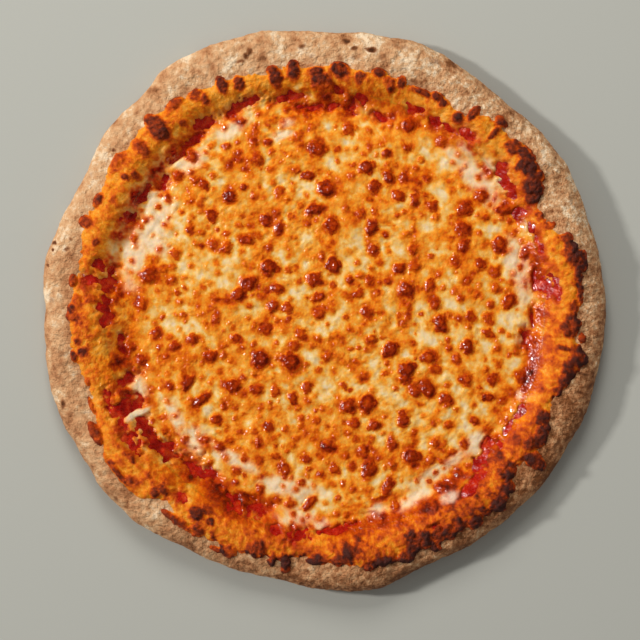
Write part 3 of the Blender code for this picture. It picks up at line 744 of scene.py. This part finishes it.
# Scorches on the rim: angle, radius, half size round the rim and along the radius, depth in %.
RIM_SCORCHES = (
    (41, 155, 4.2, 4.2, 86), (38.5, 157.6, 4.8, 3.8, 100), (36.5, 154.6, 4.4, 6.2, 96),
    (34.5, 154, 4.8, 5.2, 100), (32.3, 153, 4.4, 5.8, 100), (30.3, 149.6, 4.2, 6, 100),
    (28.6, 146.5, 3.2, 4.2, 92), (24.3, 145.5, 3, 2, 80), (21, 149, 2, 3, 72),
    (16.5, 156, 3.4, 3.2, 90), (14, 156.6, 4.2, 4.6, 92), (12, 160, 4.6, 5.6, 93),
    (10, 159.6, 3.6, 4.6, 90), (8, 158, 4, 2.2, 100), (5, 158, 3.5, 1.6, 95),
    (3, 158.6, 4, 1.4, 90), (1, 154, 3, 2.2, 86), (46.5, 152.6, 1.7, 6, 90),
    (47, 160.6, 3.6, 2.4, 90), (53, 153.6, 2.2, 5, 92), (55.5, 145, 3.5, 3.5, 94),
    (62, 150, 4, 2.4, 92), (66, 148.6, 6, 1.8, 85), (60.5, 148, 2.2, 3, 90),
    (71.5, 149.6, 2.6, 3.5, 92), (73.5, 146, 2.5, 4.2, 82), (77, 151.6, 4, 2.2, 92),
    (75, 148.6, 2.5, 2.5, 80), (81.5, 147, 3, 3.6, 86), (86.5, 150.2, 5.5, 4.2, 93),
    (90.8, 139, 6.6, 8.2, 97), (73.5, 133, 2.8, 4, 95), (80.3, 127.5, 2.5, 2.5, 92),
    (92, 149.2, 4.6, 2.2, 92), (97.3, 150.6, 3.8, 6, 96), (101.8, 147.5, 4, 5.6, 95),
    (102.2, 153.2, 3.2, 2.6, 90), (110.5, 150.6, 3, 5, 90), (114.5, 153.6, 3.1, 5.6, 93),
    (121, 156.6, 4.2, 2.6, 84), (119.5, 151, 2.2, 3, 86), (126, 158.6, 6, 3, 72),
    (132.3, 153.2, 5.5, 10.5, 93), (127, 146, 2, 2, 80), (138.3, 151.6, 3.5, 7, 78),
    (144.3, 143.6, 2.5, 4.6, 84), (146, 149, 2, 2.5, 85), (144, 158.2, 6, 3.4, 66),
    (152, 148, 2, 2, 75), (153.8, 156.2, 4, 2.5, 92), (159.4, 158.2, 3.3, 3.6, 86),
    (163, 147.5, 2, 2.2, 90), (173, 157.2, 3.5, 2.2, 72), (179.5, 156.2, 3, 2.5, 92),
    (178, 153.6, 5, 3, 64), (177, 145, 2, 4, 66), (181, 155.6, 3, 4, 76), (187, 154, 2, 2, 88),
    (189.5, 152, 2.6, 3, 98), (190, 157.6, 3, 1.6, 90), (196.5, 153, 2.2, 1.6, 70),
    (202, 155.6, 5, 1.3, 68), (208, 160.6, 7, 2.8, 74), (218, 162, 11, 1.7, 90),
    (221.5, 159, 5, 3.5, 74), (217.5, 150, 2.2, 1.6, 72), (223, 149.2, 3, 1.6, 72),
    (217, 143.4, 2.2, 1.8, 90), (203, 140.8, 2.6, 4, 82), (227, 153.6, 2.6, 2.6, 90),
    (228, 149, 4, 2.2, 85), (235, 158.2, 10, 2, 80), (240, 156, 4, 3.6, 84),
    (237.5, 147.4, 4.6, 4, 97), (239.5, 142.4, 3.6, 3, 92), (241.3, 148, 2, 2.2, 97),
    (243.2, 154, 1.8, 1.8, 85), (248, 159.6, 5, 3.6, 78), (245.5, 162, 3, 1.1, 90),
    (254, 152.6, 5, 5, 80), (258, 157.4, 2.1, 4, 88), (261.3, 159, 2.4, 4.8, 87),
    (268, 154.6, 5, 2.6, 84), (273.5, 154.6, 4, 3, 91), (276, 149.6, 4, 4, 86),
    (280, 161, 3.2, 1.7, 86), (284, 159, 5, 2.2, 93), (288.5, 160, 5, 2.5, 100),
    (291, 154.6, 4, 4, 97), (293.5, 154, 4, 5, 95), (291, 148, 2.5, 2.5, 95),
    (295.5, 160.4, 3, 3, 86), (297, 154.6, 3, 5, 90), (299.5, 157, 4, 4, 93),
    (302, 155.6, 3, 4, 90), (305.5, 160.4, 4.6, 3.2, 97), (308.5, 158.6, 2.2, 3.5, 86),
    (312, 161, 4.6, 3.2, 95), (314.5, 158.6, 2.6, 3, 90), (298.7, 137.2, 4.2, 3.8, 100),
    (316.5, 157.4, 3.1, 3.6, 93), (319, 151.6, 5, 3.1, 95), (318.5, 147.2, 5, 1.7, 86),
    (320.7, 141.4, 1.9, 1.9, 97), (324.5, 160, 4.1, 7, 97), (330, 154.6, 7, 3.6, 98),
    (334, 150.2, 4, 4, 92), (327.5, 150.8, 4, 3.6, 86), (341.5, 153, 3, 2.4, 86),
    (344, 154.6, 5, 2.6, 90), (349.5, 159.6, 4.6, 5, 95), (347, 154.6, 5, 3.1, 90),
    (356.5, 152.6, 6, 5, 93), (351.3, 149.8, 1.7, 4.4, 86), (354, 160.4, 3, 1.6, 80),
)


def patch_distance(angle, radius, places):
    """Distance from the nearest patch, 1 at its border."""
    uneven = on_plan(angle, radius)[2]
    turn = angle + 0.010 * uneven(0.0100, 61.5, 2)
    reach = radius + 0.0014 * uneven(0.0100, 62.5, 2)
    nearest = 9.0
    for degrees, middle, half_angle, half_length in places:
        off_angle = (np.degrees(turn) - degrees + 180.0) % 360.0 - 180.0
        off_radius = (reach - middle * MM) / (half_length * MM)
        nearest = np.minimum(nearest, np.hypot(off_angle / half_angle, off_radius))
    return nearest


def beside(x, y, length, width, turn, way, share):
    """A point off the middle of a blister."""
    return turned(share * length * math.cos(way), share * width * math.sin(way), turn, x, y)


def rim_lobes():
    """The scorches of the rim as lobes, in the terms of the blisters."""
    dice = random.Random(23)
    lobes = []
    for degrees, reach, half_round, half_radial, percent in RIM_SCORCHES:
        turn, depth = math.radians(degrees), percent / 100.0
        x, y = reach * MM * math.cos(turn), reach * MM * math.sin(turn)
        length, width = half_radial * MM, half_round * MM
        lobes.append((x, y, length, width, turn, depth))
        for _ in range(2 + int(max(half_round, half_radial) / 2.5)):
            way = dice.uniform(0.0, math.tau)
            size = dice.uniform(0.40, 0.65) * min(length, width)
            side = beside(x, y, length, width, turn, way, RIM_LOBE_REACH)
            narrow = size * dice.uniform(0.7, 1.0)
            lobes.append((*side, size, narrow, turn, depth * dice.uniform(0.85, 1.0)))
    return lobes


def blister_lobes():
    """Every blister as lobes: x, y, half length, half width, turn, depth of browning."""
    dice = random.Random(11)
    lobes, whole = [], []
    for rows, depths in ((LARGE_BLISTERS, (0.76, 0.86)), (MEDIUM_BLISTERS, (0.68, 0.80))):
        for *sizes, turn in rows:
            sizes = (size * MM for size in sizes)
            whole.append((*sizes, math.radians(turn), dice.uniform(*depths)))
    for wanted, low, high, low_depth, high_depth, space in SMALL_BLISTERS:
        made = 0
        for _ in range(40 * wanted):
            if made == wanted:
                break
            angle = dice.uniform(0.0, math.tau)
            reach = BLISTER_REACH * DIAMETER / 2 * math.sqrt(dice.random())
            size = dice.uniform(low, high) * MM
            x, y = reach * math.cos(angle), reach * math.sin(angle)
            if all(
                math.hypot(x - other_x, y - other_y) > size + width + space * MM
                for other_x, other_y, _, width, *_ in whole
            ):
                turn = dice.uniform(0.0, math.pi)
                depth = dice.uniform(low_depth, high_depth)
                whole.append((x, y, size, dice.uniform(0.70, 1.0) * size, turn, depth))
                made += 1
    for x, y, length, width, turn, depth in whole:
        lobes.append((x, y, 0.92 * length, 0.92 * width, turn, depth))
        for _ in range(dice.choice((2, 3, 3) if length > 0.0034 else (0, 1, 1))):
            way = dice.uniform(0.0, math.tau)
            size = dice.uniform(0.40, 0.60) * width
            side = beside(x, y, length, width, turn, way, LOBE_REACH)
            lobes.append((*side, size, size, 0.0, depth * dice.uniform(0.86, 1.0)))
    return lobes


def blisters_at(x, y, lobes, warp, core, painted_top_highlight):
    """The lift, browning and halo of blisters at places of the plan, each top painted paler as a
    highlight.
    """
    warp_x = x + warp * unevenness(x, y, 0.0, 0.0045, 71.5, 2)
    warp_y = y + warp * unevenness(x, y, 0.0, 0.0045, 72.5, 2)
    order = np.argsort(warp_x)
    sorted_x, sorted_y = warp_x[order], warp_y[order]
    lift, bake, halo = (np.zeros(len(x)) for _ in range(3))
    for middle_x, middle_y, length, width, turn, depth in lobes:
        reach = 1.6 * max(length, width) + 0.0060
        first, last = np.searchsorted(sorted_x, (middle_x - reach, middle_x + reach))
        off_x, off_y = sorted_x[first:last] - middle_x, sorted_y[first:last] - middle_y
        near = np.abs(off_y) < reach
        picked = order[first:last][near]
        distance = oval_distance(off_x[near], off_y[near], length, width, turn)
        mean_size = math.sqrt(length * width)
        dome = np.sqrt(np.clip(1.0 - distance ** 2, 0.0, 1.0))
        lift[picked] = np.maximum(lift[picked], BLISTER_RISE * mean_size * dome ** 1.2)
        # Painted highlight: each blister's top is browned less, so it shows paler.
        top = painted_top_highlight * fade(0.2, 0.85, distance)
        browned = depth * (1.0 - top) * fade(core, 1.16, distance)
        bake[picked] = np.maximum(bake[picked], browned)
        gap = np.maximum(distance - 0.95, 0.0) * mean_size
        glow = 0.72 * bell(gap, 0.0009 + 0.25 * width) + 0.28 * bell(gap, 0.0036)
        halo[picked] = np.maximum(halo[picked], glow * (0.35 + 0.65 * depth))
    return lift, bake, halo


def cheese_at(angle, radius):
    """The height of the cheese and its looks."""
    x, y, uneven = on_plan(angle, radius)
    rimward = ease(MIDDLE_END, RIM_START, radius + 0.004 * uneven(0.020, 81.5))
    middle_side = 1.0 - rimward
    blistered = blisters_at(x, y, blister_lobes(), 0.0006, 0.68, 0.15)
    lift, blister, halo = (field * middle_side for field in blistered)
    charred_side = toward(angle, SCORCHED_TOWARD, -0.5, 0.6)
    ragged = 0.0003 + 0.0009 * charred_side
    rim_lift, scorch, rim_halo = blisters_at(x, y, rim_lobes(), ragged, 0.80, 0.04)
    broad = uneven(0.026, 80.5)
    soft = uneven(0.010, 84.5, 3)
    fine = uneven(0.0036, 85.5, 2)
    grain = uneven(0.0017, 89.5, 2)
    round_it = (turn(angle) * STREAK_RADIUS / STREAK_SQUEEZE for turn in (np.cos, np.sin))
    streaks = unevenness(*round_it, radius / STREAK_STRETCH, 0.0055, 86.5, 2)

    parted = patch_distance(angle, radius, OPENINGS)
    bare = 0.97 - 0.42 * parted + 0.34 * uneven(0.0042, 63.5, 2)
    milky = fade(0.4, 1.5, patch_distance(angle, radius, MILKY_PATCHES) + 0.5 * soft)
    bare -= ease(0.3, 0.7, scorch) + 0.55 * milky
    lift, blister = (field * fade(0.45, 0.75, bare) for field in (lift, blister))
    border = cheese_radius(angle) + 0.0010 * uneven(0.012, 87.5, 2)
    inward = border - radius + 0.0018 * uneven(0.0042, 88.5, 2)
    cover = np.maximum(ease(-0.0012, 0.0048, inward), ease(0.62, 0.86, rim_halo))
    thickness = np.interp(plan_fraction(angle, radius), CHEESE_STOPS, CHEESE_THICKNESS)
    thickness *= 1.0 - 0.65 * ease(0.1, 0.75, bare)
    knobs = 1.0 + 0.30 * uneven(0.0022, 90.5, 2)
    pebbles = ease(-0.1, 0.8, uneven(0.0027, 91.5, 2))
    middle_relief = 0.0004 * broad + 0.00028 * soft + 0.00015 * pebbles - 0.0003 * halo
    middle_relief += lift * knobs
    rim_relief = 0.0006 * soft + 0.0003 * streaks + 0.0005 * fine + 0.0003 * grain
    rim_relief += 0.85 * rim_lift * (1.0 + 0.3 * fine)
    rim_relief += 0.0004 * grain * ease(0.4, 0.8, scorch)
    relief = middle_relief * middle_side + rim_relief * rimward
    height = dough_surface(angle, radius) + cover * (thickness + relief)
    height -= SAUCE_PROUD * (1.0 - cover)
    opening = ease(0.70, 0.92, bare)
    height = height * (1.0 - opening) + (sauce_top(angle, radius) - SAUCE_PROUD) * opening

    golden = fade(0.5, 1.4, patch_distance(angle, radius, GOLDEN_PATCHES) + 0.6 * soft)
    milk = milky * (1.0 - 0.8 * ease(0.5, 0.8, bare)) * (1.0 - halo)
    milk *= fade(0.25, 0.55, blister) * (1.0 - golden)
    thin = fade(0.093, 0.126, radius)
    # Painted shade in part: a browner band in the crease at the rim's foot.
    valley_browning_and_shade = bell(radius - VALLEY_RADIUS, VALLEY_WIDTH) * around(VALLEY_BROWNING_AND_SHADE, angle)
    middle = 0.13 + 0.07 * thin + 0.13 * broad + 0.28 * soft + 0.06 * fine + 0.28 * golden
    middle += valley_browning_and_shade + 0.08 * (pebbles - 0.3)
    middle = np.maximum(middle, 0.0) * (1.0 - 0.5 * milk) + 0.40 * halo * (0.8 + 0.3 * fine)
    middle = np.maximum(middle, blister + 0.07 * fine * (blister > 0.4))
    fringe = bell(np.maximum(inward - 0.001, 0.0), 0.0026)
    toasted = fringe * charred_side * ease(-0.3, 0.8, soft + fine)
    rim = 0.31 + 0.16 * soft + 0.22 * fine + 0.15 * grain + 0.10 * streaks + 0.08 * broad
    # Painted light in part: the rim paler along its top and upper left, where its slope lies in
    # shade.
    rim = (rim + around(RIM_BROWNING_AND_SIDE_LIGHT, angle)) * (1.0 - 0.30 * fringe * (1.0 - charred_side))
    rim += 0.34 * toasted + 0.36 * rim_halo ** 2 + valley_browning_and_shade
    rim = np.maximum(rim, 0.24 + 0.08 * fine)
    rim = np.maximum(rim, 0.74 * ease(-0.0006, 0.0012, -inward) + 0.14 * fine)
    rim = np.maximum(rim, scorch * (0.93 + 0.14 * fine + 0.14 * grain))
    # The browning holds painted shade at the rim's foot, painted light on the rim's top and upper
    # left, and painted highlights on the blister tops.
    bake = middle * middle_side + rim * rimward
    ring = bell(radius - STAIN_RADIUS, STAIN_WIDTH)
    ring *= around(STAIN_ROUND, angle) + 0.6 * soft + 0.3 * fine
    bared = ease(0.05, 0.95, bare) * fade(0.6, 0.9, bake)
    seeped = (0.54 + 0.3 * soft) * fade(0.8, 3.5, parted)
    seeped *= fade(0.5, 0.8, bake) * (1.0 - 0.6 * milk)
    stain = np.maximum(0.8 * ring * fade(0.45, 0.8, bake), np.maximum(bared, seeped))
    looks = {"Browning_and_painted_light": bake, "Milk": milk, "Stain": stain, "Dryness": rimward}
    return height, {name: np.clip(value, 0.0, 1.0) for name, value in looks.items()}


def outward(angle, share):
    """The radius at a share of the way to the sheet's buried end."""
    end = np.minimum(cheese_radius(angle) + OVERHANG, edge_radius(angle) - EDGE_CLEAR)
    return MIDDLE_RADIUS + (end - MIDDLE_RADIUS) * share


def sheet_rings():
    """Angle and radius of every ring of the whole sheet, each with six points more."""
    angles, radii = [np.zeros(1)], [np.zeros(1)]
    for step in range(1, MIDDLE_RINGS + RIM_RINGS + 1):
        angle = np.arange(6 * step) * (math.tau / (6 * step))
        share = (step - MIDDLE_RINGS) / RIM_RINGS
        inner = MIDDLE_RADIUS * step / MIDDLE_RINGS
        angles.append(angle)
        radii.append(np.where(share < 0.0, inner, outward(angle, share)))
    return angles, radii


def surface_normals(points, triangles):
    """The direction that the surface faces at each point."""
    corners = points[triangles]
    facing = np.cross(corners[:, 1] - corners[:, 0], corners[:, 2] - corners[:, 0])
    normals = np.zeros_like(points)
    for corner in range(3):
        np.add.at(normals, triangles[:, corner], facing)
    return normals / np.linalg.norm(normals, axis=1, keepdims=True)


ring_angles, ring_radii = sheet_rings()
angles, radii = np.concatenate(ring_angles), np.concatenate(ring_radii)
heights, looks = cheese_at(angles, radii)
sheet = np.stack((*on_plan(angles, radii)[:2], heights), axis=-1)
ring_counts = [len(ring) for ring in ring_angles]
sheet_normals = surface_normals(sheet, np.array(ring_triangles(ring_counts)))
ring_starts = np.concatenate(([0], np.cumsum(ring_counts))).tolist()


def cut_from_sheet(name, first, last, under_rings):
    """A closed piece of the sheet between two of its rings."""
    taken = slice(ring_starts[first], ring_starts[last + 1])
    rings = np.split(sheet[taken], np.cumsum(ring_counts[first:last]))
    piece = closed_piece(name, rings + under_rings, wraps=first > 0)
    under_count = sum(len(ring) for ring in under_rings)
    normals = np.concatenate((sheet_normals[taken], [(0.0, 0.0, -1.0)] * under_count))
    piece.data.normals_split_custom_set_from_vertices(normals.tolist())
    hidden = np.ones(under_count)
    keep_values(piece, **{
        look: np.concatenate((values[taken], values.mean() * hidden))
        for look, values in looks.items()})
    return piece


middle_under = [ring_points(400, radius, sunk(0.0012)) for radius in (0.1367, 0.1350, 0.1330)]
middle_under += plain_rings(CHEESE_BOTTOM, (
    (340, 0.1300), (170, 0.115), (90, 0.080), (40, 0.040), (1, 0.0)))
melted_cheese = cut_from_sheet("melted_cheese_middle", 0, MIDDLE_RINGS, middle_under)

BROWNING = (
    (0.0, 253, 219, 169), (0.12, 252, 197, 110), (0.24, 250, 166, 52), (0.40, 240, 130, 18),
    (0.54, 214, 90, 6), (0.68, 180, 56, 3), (0.82, 134, 30, 2), (0.91, 104, 26, 9),
    (1.0, 82, 34, 22),
)
CHAR = (
    (0.0, 250, 188, 82), (0.28, 247, 148, 28), (0.48, 232, 110, 9), (0.62, 204, 80, 8),
    (0.72, 166, 58, 12), (0.82, 128, 46, 16), (0.90, 102, 36, 18), (1.0, 78, 36, 28),
)
MILK_COLOUR = (246, 219, 187)
SOAKED = ((0.38, 92, 5, 1), (0.47, 150, 12, 3), (0.55, 194, 38, 8), (0.66, 226, 104, 48))
STAIN_COLOURS = ((0.0, 232, 140, 84), (0.3, 214, 76, 18), (0.6, 170, 34, 6), (1.0, 80, 16, 6))


def make_browned_cheese():
    """How cheese looks from its browning, which holds some painted light and shade, and from its
    milk, stain and dryness.
    """
    tree, (place, browning, milk, stain, dryness) = new_effect(
        "browned_cheese", ("Place", *looks), ("Colour", "Roughness", "Height", "Oil"))
    fine = add_noise(place, 480.0, 1.5, 0.55)
    coarse = add_noise(place, 190.0, 3.0, 0.55, 0.3)
    wet = add_noise(place, 680.0, 0.0)
    dry = add_noise(place, 900.0, 3.0, 0.65)
    change = (fine * 0.4 + coarse * 0.8 - 0.6) * add_range(dryness, 0.0, 1.0, 0.40, 0.52)
    change = change * add_range(browning, 0.05, 0.35, 0.55, 1.0)
    depth = browning + change
    browned = add_mix(dryness, add_ramp(depth, BROWNING), add_ramp(depth, CHAR))
    milky = add_mix(milk * 0.8, browned, srgb(*MILK_COLOUR))
    seep = change * 0.5 + stain
    stained = add_mix(add_range(seep, 0.12, 0.85), milky, add_ramp(depth, STAIN_COLOURS))
    wet_red = add_ramp(fine * 0.5 + coarse * 0.5, SOAKED)
    wet_height = wet * (dryness * -1.0 + 1.0) * add_range(browning, 0.10, 0.50, 0.30, 1.0)
    oil = add_range(coarse, 0.42, 0.62, 0.10, 0.70) - dryness
    oil = oil - add_range(browning, 0.45, 0.75, 0.0, 0.15)
    roughness = (coarse - 0.5) * 0.3 + 0.26 + add_range(depth * dryness, 0.1, 0.8, 0.0, 0.35)
    feed(tree.nodes.new("NodeGroupOutput"), {
        "Colour": add_mix(add_range(seep, 0.52, 0.98), stained, wet_red), "Roughness": roughness,
        "Height": dry * dryness + wet_height, "Oil": add_range(oil, 0.0, 1.0)})
    return tree


browned_cheese = make_browned_cheese()


def cheese_material(name, bump_depth, values):
    """A material that shows a cheese piece's kept looks as browned cheese."""
    soft = {"Subsurface Radius": (1.0, 0.8, 0.5), "Subsurface Scale": 0.003}
    material, shader, place = new_material(name, {**values, **soft})
    kept = dict(zip(looks, stored(place.tree, *looks)))
    cheese = add_effect(browned_cheese, {"Place": place, **kept})
    dress(shader, cheese["Colour"], cheese["Roughness"], cheese["Height"], bump_depth)
    feed(shader, {"Coat Weight": cheese["Oil"]})
    return material


melted_cheese.data.materials.append(cheese_material("cheese_melted_middle", 0.00055, {
    "Specular IOR Level": 0.42, "Coat Roughness": 0.09, "Subsurface Weight": 0.6}))
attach(melted_cheese, "root")
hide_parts("cheese")


# ---- The baked cheese on the rim ----
# The border of the same sheet, where the cheese was strewn up the inner slope of the dough. Thin
# and dry there, it fries to a golden streaky skin with a ragged edge, scorched dark in patches.

RIM_SUNK = 0.0016
rim_under = [
    ring_points(636, partial(outward, share=share), sunk(RIM_SUNK))
    for share in (1.0, 0.8, 0.6, 0.4, 0.2, 0.03)]
last_ring = MIDDLE_RINGS + RIM_RINGS
rim_cheese = cut_from_sheet("rim_cheese_baked", MIDDLE_RINGS, last_ring, rim_under)
rim_cheese.data.materials.append(cheese_material("cheese_baked_rim", 0.0010, {
    "Specular IOR Level": 0.2, "Subsurface Weight": 0.18}))
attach(rim_cheese, "root")
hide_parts("cheese")


# ---- The floor, the light and the camera ----
# A plain pale floor, one small hard lamp low on the left with soft light from all round, and a
# camera that looks straight down.

HALF_FLOOR = 3.0
FLOOR_COLOUR = srgb(183, 182, 172)
KEY_TURN, KEY_RISE = math.radians(169.0), math.radians(32.0)
KEY_DISTANCE, KEY_SIZE, KEY_POWER = 4.0, 0.36, 104.0
SOFTBOX_PLACE, SOFTBOX_SIZE, SOFTBOX_POWER = (-0.20, 1.40, 1.20), 0.8, 18.0
SKY_STRENGTH = 0.26
CAMERA_PLACE = (-0.0028, -0.0053, 1.3)
CAMERA_LENS, CAMERA_SENSOR = 116.4, 36.0

corners = ((-1, -1), (1, -1), (1, 1), (-1, 1))
floor_mesh = bpy.data.meshes.new("floor")
floor_mesh.from_pydata([(HALF_FLOOR * x, HALF_FLOOR * y, 0.0) for x, y in corners], [], [range(4)])
floor = add_object("floor", floor_mesh)
floor_mesh.materials.append(new_material("floor_pale", {
    "Base Color": FLOOR_COLOUR, "Roughness": 0.9, "Specular IOR Level": 0.2})[0])


def add_lamp(name, place, size, power, glints):
    """A square lamp that faces the pizza, seen or not seen in its gloss."""
    light = bpy.data.lights.new(name, "AREA")
    light.size, light.energy = size, power
    lamp = add_object(name, light)
    lamp.location = place
    lamp.rotation_euler = Vector(place).to_track_quat("Z", "Y").to_euler()
    lamp.visible_glossy = glints


level = KEY_DISTANCE * math.cos(KEY_RISE)
key_height = KEY_DISTANCE * math.sin(KEY_RISE)
key_place = (level * math.cos(KEY_TURN), level * math.sin(KEY_TURN), key_height)
add_lamp("key", key_place, KEY_SIZE, KEY_POWER, True)
add_lamp("softbox", SOFTBOX_PLACE, SOFTBOX_SIZE, SOFTBOX_POWER, False)

world = bpy.data.worlds.new("studio")
world.use_nodes = True
sky = world.node_tree.nodes["Background"]
feed(sky, {"Color": (1.0, 1.0, 1.0, 1.0), "Strength": SKY_STRENGTH})
world.cycles_visibility.glossy = False
bpy.context.scene.world = world
bpy.context.scene.view_settings.view_transform = "Standard"

camera_data = bpy.data.cameras.new("camera")
camera_data.lens, camera_data.sensor_width = CAMERA_LENS, CAMERA_SENSOR
camera = add_object("camera", camera_data)
camera.location = CAMERA_PLACE
bpy.context.scene.camera = camera
